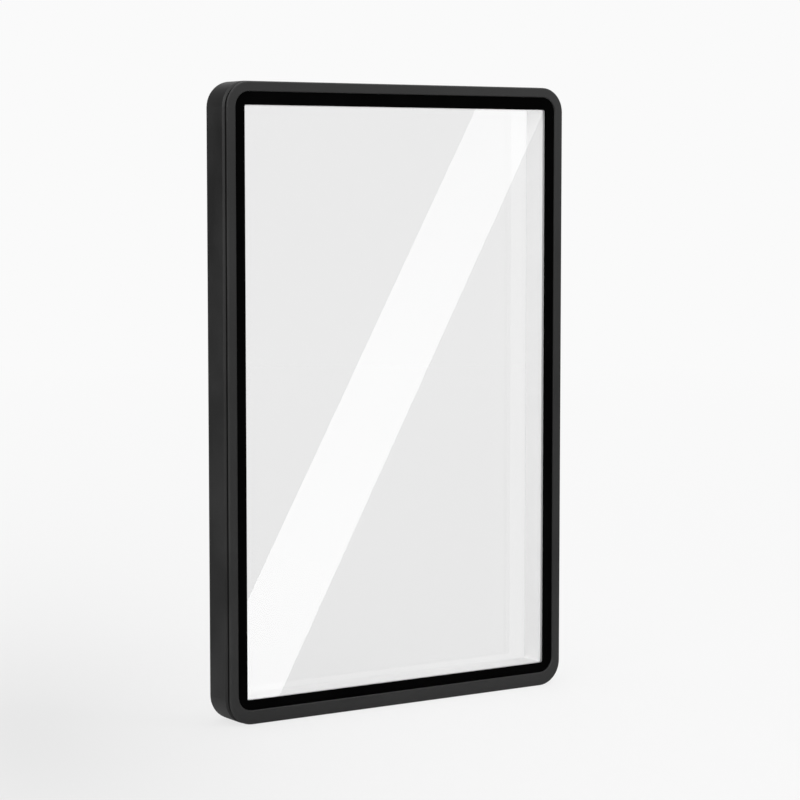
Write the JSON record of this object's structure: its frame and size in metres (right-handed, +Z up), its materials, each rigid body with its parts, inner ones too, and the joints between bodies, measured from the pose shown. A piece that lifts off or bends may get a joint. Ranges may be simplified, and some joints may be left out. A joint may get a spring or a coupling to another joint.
{
  "type": "trading card display case",
  "caption": "Slim upright two-frame display case with clear front and rear windows; its magnetic front cover pulls off so that a slabbed card goes in.",
  "frame": {"origin": "middle of the bottom edge that the case stands on, halfway through its depth", "axes": "+Z up along the height, the front cover faces -Y, +X to the right seen from the front"},
  "size_m": [0.0948, 0.0106, 0.148],
  "materials": {
    "front_frame_anodised": "satin black anodised",
    "rear_frame_anodised": "satin black anodised",
    "surround_black": "deep matt black",
    "clear_pane": "clear, polished",
    "bonding_tape": "black double-sided tape",
    "liner_grey": "light grey soft-touch",
    "magnet_nickel": "nickel plated"
  },
  "bodies": {
    "rear_case": {"rear_frame": "rear_frame_anodised", "rear_window_tape": "bonding_tape", "rear_window_pane": "clear_pane", "rear_window_surround": "surround_black", "rear_magnet_left_upper": "magnet_nickel", "rear_magnet_left_middle": "magnet_nickel", "rear_magnet_left_lower": "magnet_nickel", "rear_magnet_right_upper": "magnet_nickel", "rear_magnet_right_middle": "magnet_nickel", "rear_magnet_right_lower": "magnet_nickel", "rear_magnet_top": "magnet_nickel", "rear_magnet_bottom": "magnet_nickel"},
    "front_cover": {"front_frame": "front_frame_anodised", "front_window_surround": "surround_black", "front_window_pane": "clear_pane", "front_window_tape": "bonding_tape", "front_magnet_left_upper": "magnet_nickel", "front_magnet_left_middle": "magnet_nickel", "front_magnet_left_lower": "magnet_nickel", "front_magnet_right_upper": "magnet_nickel", "front_magnet_right_middle": "magnet_nickel", "front_magnet_right_lower": "magnet_nickel", "front_magnet_top": "magnet_nickel", "front_magnet_bottom": "magnet_nickel"},
    "liner": {"slab_liner": "liner_grey"}
  },
  "joints": [
    {"name": "cover_pull", "type": "slide", "parent": "rear_case", "child": "front_cover", "axis": [0, -1, 0], "range_m": [0, 0.04]},
    {"name": "liner_lift", "type": "slide", "parent": "rear_case", "child": "liner", "axis": [0, -1, 0], "range_m": [0, 0.02]}
  ],
  "couplings": [
    {"joint": "liner_lift", "follows": "cover_pull", "ratio": 0.5}
  ]
}
